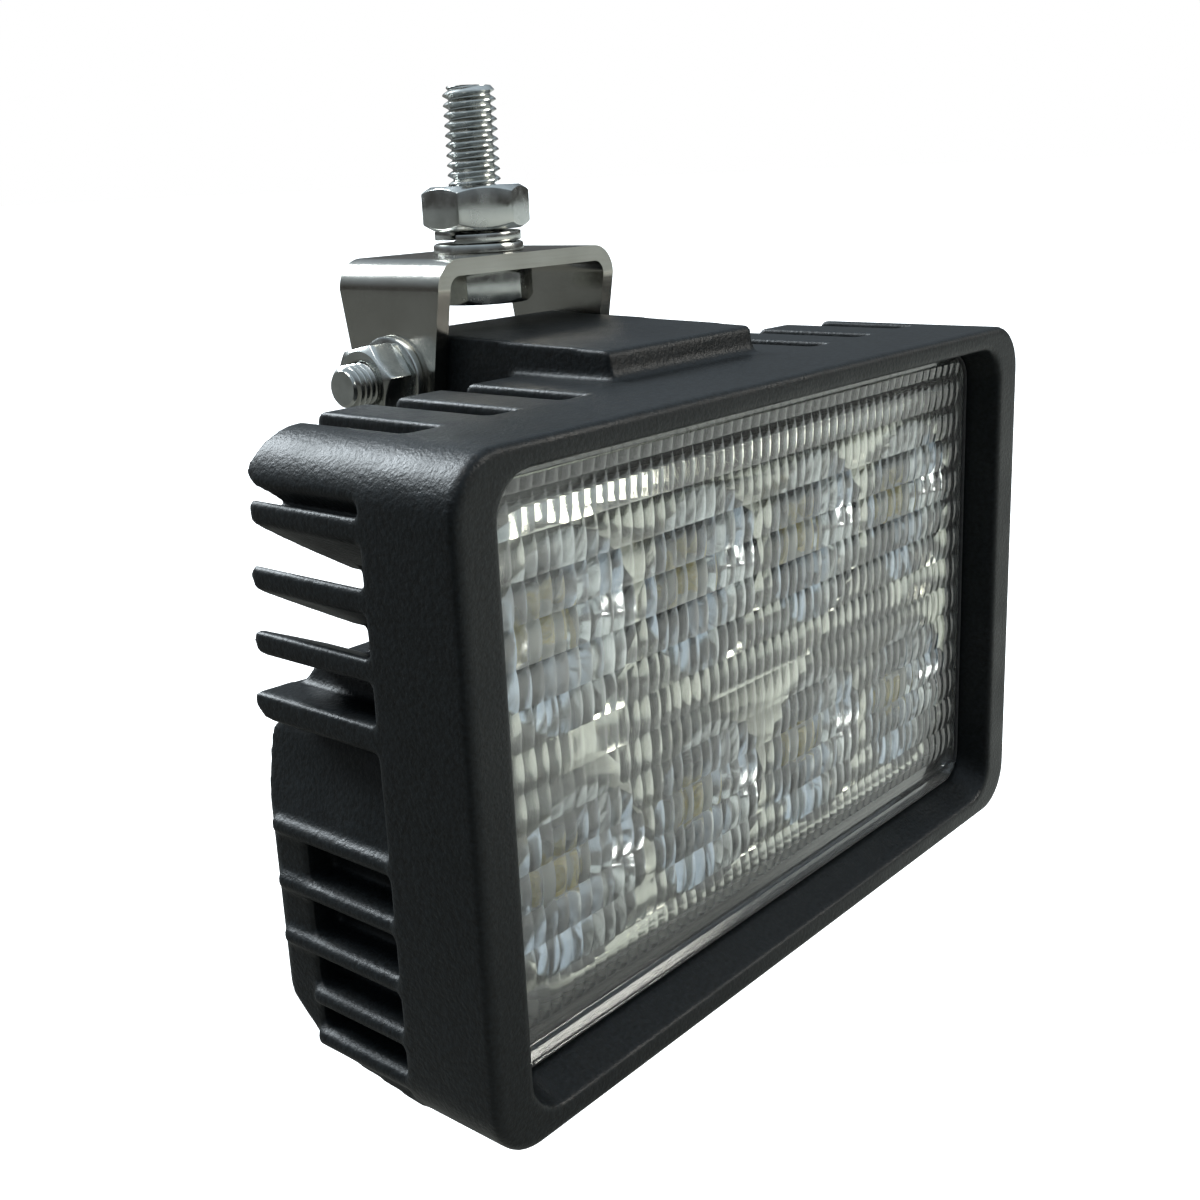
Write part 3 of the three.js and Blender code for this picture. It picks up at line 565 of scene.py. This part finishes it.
def turned_hex(name, across, low, high, hole=0.0, turn=0.0, face=NUT_FACE):
    """A nut or bolt head round Z, its corners turned down by a 30 degree chamfer."""
    sides = 96
    slope = math.tan(math.radians(30))
    rim = across / 2 * face
    outline = [hex_outline(across, TAU * i / sides) for i in range(sides)]
    drops = [(r - rim) * slope for r in outline]
    rings = []

    def ring(radii, heights):
        points = []
        for i, (r, height) in enumerate(zip(radii, heights)):
            angle = TAU * i / sides + turn
            points.append((r * math.cos(angle), r * math.sin(angle), height))
        rings.append(points)

    def circle(radius, height):
        ring([radius] * sides, [height] * sides)

    countersink = 0.45 * MM if hole else 0.0
    inner = max(hole, 0.01 * MM)
    circle(inner, low + countersink)
    if hole:
        circle(hole + countersink, low)
    circle(rim, low)
    ring(outline, [low + drop for drop in drops])
    ring(outline, [high - drop for drop in drops])
    circle(rim, high)
    if hole:
        circle(hole + countersink, high)
    circle(inner, high - countersink)
    verts = [p for r in rings for p in r]
    faces = quads(len(rings), sides, wrap=True)
    last = (len(rings) - 1) * sides
    if hole:
        for i in range(sides):
            n = (i + 1) % sides
            faces.append((last + i, last + n, n, i))
    else:
        faces.append(tuple(range(sides - 1, -1, -1)))
        faces.append(tuple(range(last, last + sides)))
    piece = tidied(mesh_piece(name, verts, faces))
    return smooth(bevel(piece, 0.18 * MM, degrees=40), FASTENER_SMOOTH)


def turned(name, profile, sides):
    """A ring turned round Z from a closed (radius, height) profile."""
    count = len(profile)
    verts = []
    for i in range(sides):
        angle = TAU * i / sides
        for r, z in profile:
            verts.append((r * math.cos(angle), r * math.sin(angle), z))
    faces = []
    for i in range(sides):
        n = (i + 1) % sides
        for k in range(count):
            m = (k + 1) % count
            faces.append((i * count + k, n * count + k, n * count + m, i * count + m))
    return tidied(mesh_piece(name, verts, faces))


def flat_washer(name, outer, inner, low, high):
    """A stamped washer: one edge rolled over, the other sharp."""
    t = high - low
    profile = [
        (inner, low + 0.1 * t),
        (inner + 0.12 * t, low),
        (outer - 0.12 * t, low),
        (outer, low + 0.12 * t),
        (outer, high - 0.35 * t),
        (outer - 0.1 * t, high - 0.12 * t),
        (outer - 0.35 * t, high),
        (inner + 0.2 * t, high),
        (inner, high - 0.2 * t),
    ]
    return smooth(turned(name, profile, WASHER_SIDES), 40)


def split_washer(name, outer, inner, low, high, start_angle):
    """A spring washer: square wire in one turn, its ends set slightly apart."""
    gap = 0.14  # between the ends, in radians
    lift = 0.3 * (high - low)
    body = high - low - lift
    verts = []
    for i in range(WASHER_SIDES + 1):
        share = i / WASHER_SIDES
        angle = start_angle + gap / 2 + (TAU - gap) * share
        z0 = low + lift * share
        for r, z in ((inner, z0), (outer, z0), (outer, z0 + body), (inner, z0 + body)):
            verts.append((r * math.cos(angle), r * math.sin(angle), z))
    faces = [(0, 1, 2, 3), tuple(WASHER_SIDES * 4 + k for k in (3, 2, 1, 0))]
    faces += quads(WASHER_SIDES + 1, 4, wrap=True)
    piece = tidied(mesh_piece(name, verts, faces), merge=False)
    return smooth(bevel(piece, 0.2 * MM, degrees=40), 40)


def joined(name, *pieces):
    """One piece from several, with no faces lost."""
    bm = bmesh.new()
    for piece in pieces:
        bm.from_mesh(piece.data)
        bpy.data.objects.remove(piece)
    return smooth(bm_piece(name, bm, outward=False), FASTENER_SMOOTH)


def shank(size, low, high):
    return threaded_bar("bar", size["radius"] - THREAD_INSET, low, high, size["pitch"])


def stud_set():
    """The stud bolt with its nut and washers, upright through the bracket's plate."""
    low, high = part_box("stud_bolt")
    across = M10["across"]
    hole = M10["radius"] + HOLE_GAP
    seat = low.z + M10["head"]
    head = turned_hex("head", across, low.z, seat, face=HEAD_FACE)
    piece = joined("stud_with_thread", head, shank(M10, seat - INTO_HEAD, high.z))
    finish_piece(piece, "stud", "stainless", MATERIALS["zinc"], "stud_bolt")
    low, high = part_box("stud_nut")
    bore = M10["radius"] + NUT_GAP
    nut = turned_hex("clamp_nut", across, low.z, high.z, bore, CLAMP_NUT_TURN)
    finish_piece(nut, "stud", "zinc", MATERIALS["zinc"], "stud_nut")
    low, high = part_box("stud_washer")
    washer = flat_washer("clamp_washer", high.x, hole, low.z, high.z)
    finish_piece(washer, "stud", "zinc", MATERIALS["zinc"], "stud_washer")
    low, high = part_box("stud_spring_washer")
    spring = split_washer("clamp_spring_washer", high.x, hole, low.z, high.z, SPLIT_AT)
    finish_piece(spring, "stud", "zinc", MATERIALS["zinc"], "stud_spring_washer")


def pivot_set():
    """The pivot bolt with its nut and washers, along X through both legs."""
    low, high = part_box("pivot_bolt")
    axis = Vector((0, 0, PIVOT.z))
    across = M8["across"]
    seat = high.x - M8["head"]
    head = turned_hex("head", across, seat, high.x, turn=TILT_HEAD_TURN, face=HEAD_FACE)
    bar = shank(M8, INTO_HEAD - seat, -low.x)
    piece = joined("pivot_bolt_with_thread", laid(head, "x", axis), laid(bar, "-x", axis))
    finish_piece(piece, "bracket", "zinc", MATERIALS["zinc"], "pivot_bolt")
    low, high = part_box("pivot_nut")
    bore = M8["radius"] + NUT_GAP
    nut = turned_hex("tilt_nut", across, -high.x, -low.x, bore, TILT_NUT_TURN)
    finish_piece(laid(nut, "-x", axis), "bracket", "zinc", MATERIALS["zinc"], "pivot_nut")
    for side, direction in (("left", "-x"), ("right", "x")):
        low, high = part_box("pivot_washer_" + side)
        near, far = sorted((abs(low.x), abs(high.x)))
        hole = M8["radius"] + HOLE_GAP
        washer = flat_washer("tilt_washer_" + side, high.y, hole, near, far)
        laid(washer, direction, axis)
        finish_piece(washer, "bracket", "zinc", MATERIALS["zinc"], "pivot_washer_" + side)


# ---- bracket --------------------------------------------------------------------------------
def bracket_sheet():
    """U-bracket bent from one sheet, its legs tapered to round ends."""
    leg_rows = 26
    bend_rows = 12
    plate_rows = 6
    across = 16
    half = BRACKET_HIGH.x
    top_half = BRACKET_HIGH.y
    low_half = PIVOT.z - BRACKET_LOW.z
    mid = SHEET / 2

    # the sheet's middle line, from the left leg's end to the middle of the plate
    path = []
    foot = BRACKET_LOW.z + 0.001 * MM
    for k in range(leg_rows):
        # closer rows round the leg's end
        share = 1 - math.cos(k / leg_rows * math.pi / 2)
        path.append((-half + mid, foot + (-BEND - foot) * share))
    r = BEND - mid
    for k in range(bend_rows + 1):
        angle = math.pi - math.pi / 2 * k / bend_rows
        path.append((-half + BEND + r * math.cos(angle), -BEND + r * math.sin(angle)))
    for k in range(1, plate_rows + 1):
        path.append((-half + BEND + (half - BEND) * k / plate_rows, -mid))
    path += [(-x, z) for x, z in reversed(path[:-1])]

    def half_width(z):
        if z <= PIVOT.z:
            return math.sqrt(max(1e-10, low_half**2 - (z - PIVOT.z) ** 2))
        share = min(1, (z - PIVOT.z) / (-BEND - PIVOT.z))
        return low_half + (top_half - low_half) * share

    verts = []
    for x, z in path:
        w = half_width(z)
        verts += [(x, -w + 2 * w * k / across, z) for k in range(across + 1)]
    piece = mesh_piece("bracket_sheet", verts, quads(len(path), across + 1))
    solid = piece.modifiers.new("thick", "SOLIDIFY")
    solid.thickness = SHEET - 0.02 * MM
    solid.offset = 0
    solid.use_even_offset = True
    apply_modifiers(piece)

    drills = []
    for axis, size, height, far in (("z", M10, 0, 20 * MM), ("x", M8, PIVOT.z, 50 * MM)):
        hole = size["radius"] + HOLE_GAP
        profile = [(0, -far), (hole, -far), (hole, far), (0, far)]
        drill = turned("drill_" + axis, profile, 48)
        drills.append(laid(drill, axis, Vector((0, 0, height))))
    for drill in drills:
        cut = piece.modifiers.new("hole", "BOOLEAN")
        cut.operation = "DIFFERENCE"
        cut.solver = "EXACT"
        cut.object = drill
    apply_modifiers(piece)
    for drill in drills:
        bpy.data.objects.remove(drill)
    smooth(bevel(piece, 0.3 * MM, degrees=50), 30)
    return finish_piece(piece, "bracket", "stainless", MATERIALS["stainless"], "bracket")


# ---- the rest -------------------------------------------------------------------------------
def carried_nodes():
    """CAD shapes whose edges are rounded here, and small inner pieces that stay as they are."""
    slots = {s["node"]: s["material_slot"] for s in frame["record"]["subparts"]}
    rounded = {  # width of the rounding, in mm
        "driver_cover": 0.4,
        "cover_gasket": 0.15,
        "vent_plug": 0.3,
        "gland_body": 0.3,
        "gland_nut": 0.35,
        "gland_seal": 0.3,
        "lens_seal": 0.25,
    }
    rounded.update({f"cover_screw_{k}": 0.15 for k in range(1, 7)})
    for node, width in rounded.items():
        piece = refined(node, node + "_finished", width * MM)
        finish_piece(piece, "lamp", slots[node], MATERIALS[slots[node]], node)
    for node, obj in frame["nodes"].items():
        if obj.hide_render:
            continue
        obj.data.materials.clear()
        obj.data.materials.append(MATERIALS[slots[node]])


# ---- stage ----------------------------------------------------------------------------------
def camera():
    """The photo's camera, as fitted: close to the lamp's left front corner, a little above it."""
    place = (-0.2061, -0.2049, 0.0137)
    azimuth = math.radians(-49.14)
    elevation = math.radians(16.19)
    roll = math.radians(-2.58)
    focal_share = 1474.8 / 1200  # focal length over the frame's width
    sensor = 36
    back = Vector(
        (
            math.sin(azimuth) * math.cos(elevation),
            -math.cos(azimuth) * math.cos(elevation),
            math.sin(elevation),
        )
    )
    right = (-back).cross(Vector((0, 0, 1))).normalized()
    up = back.cross(right)
    turned_right = right * math.cos(roll) + up * math.sin(roll)
    turned_up = up * math.cos(roll) - right * math.sin(roll)
    data = bpy.data.cameras.new("camera")
    data.sensor_width = sensor
    data.lens = sensor * focal_share
    data.clip_start = 0.01
    obj = bpy.data.objects.new("camera", data)
    rows = Matrix((turned_right, turned_up, back)).transposed().to_4x4()
    obj.matrix_world = Matrix.Translation(place) @ rows
    bpy.context.scene.collection.objects.link(obj)
    bpy.context.scene.camera = obj


def area_light(name, place, target, size, power, color=(1, 1, 1)):
    """A soft box that faces the target."""
    data = bpy.data.lights.new(name, "AREA")
    data.shape = "RECTANGLE"
    data.size, data.size_y = size
    data.energy = power
    data.color = color
    obj = bpy.data.objects.new(name, data)
    obj.location = place
    obj.rotation_euler = (Vector(target) - Vector(place)).to_track_quat("-Z", "Y").to_euler()
    bpy.context.scene.collection.objects.link(obj)


def sky():
    """Dim all round and lighter overhead, behind a plain white backdrop."""
    world = bpy.data.worlds.new("studio")
    world.use_nodes = True
    tree = world.node_tree
    room = tree.nodes["Background"]
    coords = tree.nodes.new("ShaderNodeTexCoord")
    split = tree.nodes.new("ShaderNodeSeparateXYZ")
    ramp = tree.nodes.new("ShaderNodeValToRGB")
    backdrop = tree.nodes.new("ShaderNodeBackground")
    path = tree.nodes.new("ShaderNodeLightPath")
    mix = tree.nodes.new("ShaderNodeMixShader")
    stops = [
        (0.0, (0.05, 0.047, 0.042)),
        (0.15, (0.1, 0.1, 0.1)),
        (0.5, (0.41, 0.48, 0.54)),
        (0.95, (0.73, 0.86, 0.98)),
    ]
    set_stops(ramp.color_ramp, stops)
    backdrop.inputs["Color"].default_value = (1, 1, 1, 1)
    tree.links.new(coords.outputs["Generated"], split.inputs["Vector"])
    tree.links.new(split.outputs["Z"], ramp.inputs["Fac"])
    tree.links.new(ramp.outputs["Color"], room.inputs["Color"])
    tree.links.new(path.outputs["Is Camera Ray"], mix.inputs["Fac"])
    tree.links.new(room.outputs["Background"], mix.inputs[1])
    tree.links.new(backdrop.outputs["Background"], mix.inputs[2])
    tree.links.new(mix.outputs["Shader"], tree.nodes["World Output"].inputs["Surface"])
    bpy.context.scene.world = world


def key_light(towards, strength, spread):
    """Even, daylight-like light from the given direction, spread over an angle in degrees."""
    data = bpy.data.lights.new("key", "SUN")
    data.energy = strength
    data.angle = math.radians(spread)
    data.color = (0.87, 0.95, 1.0)
    obj = bpy.data.objects.new("key", data)
    obj.rotation_euler = Vector(towards).to_track_quat("Z", "Y").to_euler()
    bpy.context.scene.collection.objects.link(obj)


def floor_material():
    """White to the camera. In reflections it is painted dark, with a painted pool of light towards the right
    front.
    """
    s = Shader("pale_floor", (0.86, 0.86, 0.86), 0.8)
    seen = s.ramp(s.noise(3, 2), [(0.3, (0.83, 0.825, 0.82)), (0.7, (0.87, 0.865, 0.86))])
    # painted light: the floor seen in reflections is dark, with a painted pool of light towards the right front
    right_front = s.reach((0.7, -0.7, 0), -0.15, 0.25)
    painted_light_in_reflections = s.ramp(right_front, [(0.0, (0.06, 0.055, 0.043)), (1.0, (0.5, 0.49, 0.44))])
    camera_ray = s.tree.nodes.new("ShaderNodeLightPath").outputs["Is Camera Ray"]
    s.link(s.mix(camera_ray, painted_light_in_reflections, seen), "Base Color")
    s.link(s.ramp(camera_ray, [(0.0, (0, 0, 0)), (1.0, (1, 1, 1))]), "Emission Color")
    s.bsdf.inputs["Emission Strength"].default_value = 0.7
    return s.material


def stage():
    """Floor below the lamp, the surroundings and the lights."""
    bm = bmesh.new()
    bmesh.ops.create_grid(bm, x_segments=8, y_segments=8, size=30)
    floor = bm_piece("floor", bm)
    floor.location.z = -0.165
    floor.data.materials.append(floor_material())
    sky()
    lamp = (0, -0.03, -0.07)
    key_light(towards=(-0.08, 0.8, 0.58), strength=5.0, spread=26)
    area_light("top_box", (-0.35, 0.1, 0.75), lamp, size=(0.5, 0.3), power=3.5)
    warm = (1, 0.97, 0.9)
    area_light("front_box", (0.75, -0.95, 0.55), lamp, (0.5, 0.35), power=8, color=warm)
    bpy.context.scene.view_settings.view_transform = "Standard"


camera()
housing_casting()
fluted_lens()
reflector_tray()
stud_set()
pivot_set()
bracket_sheet()
carried_nodes()
stage()
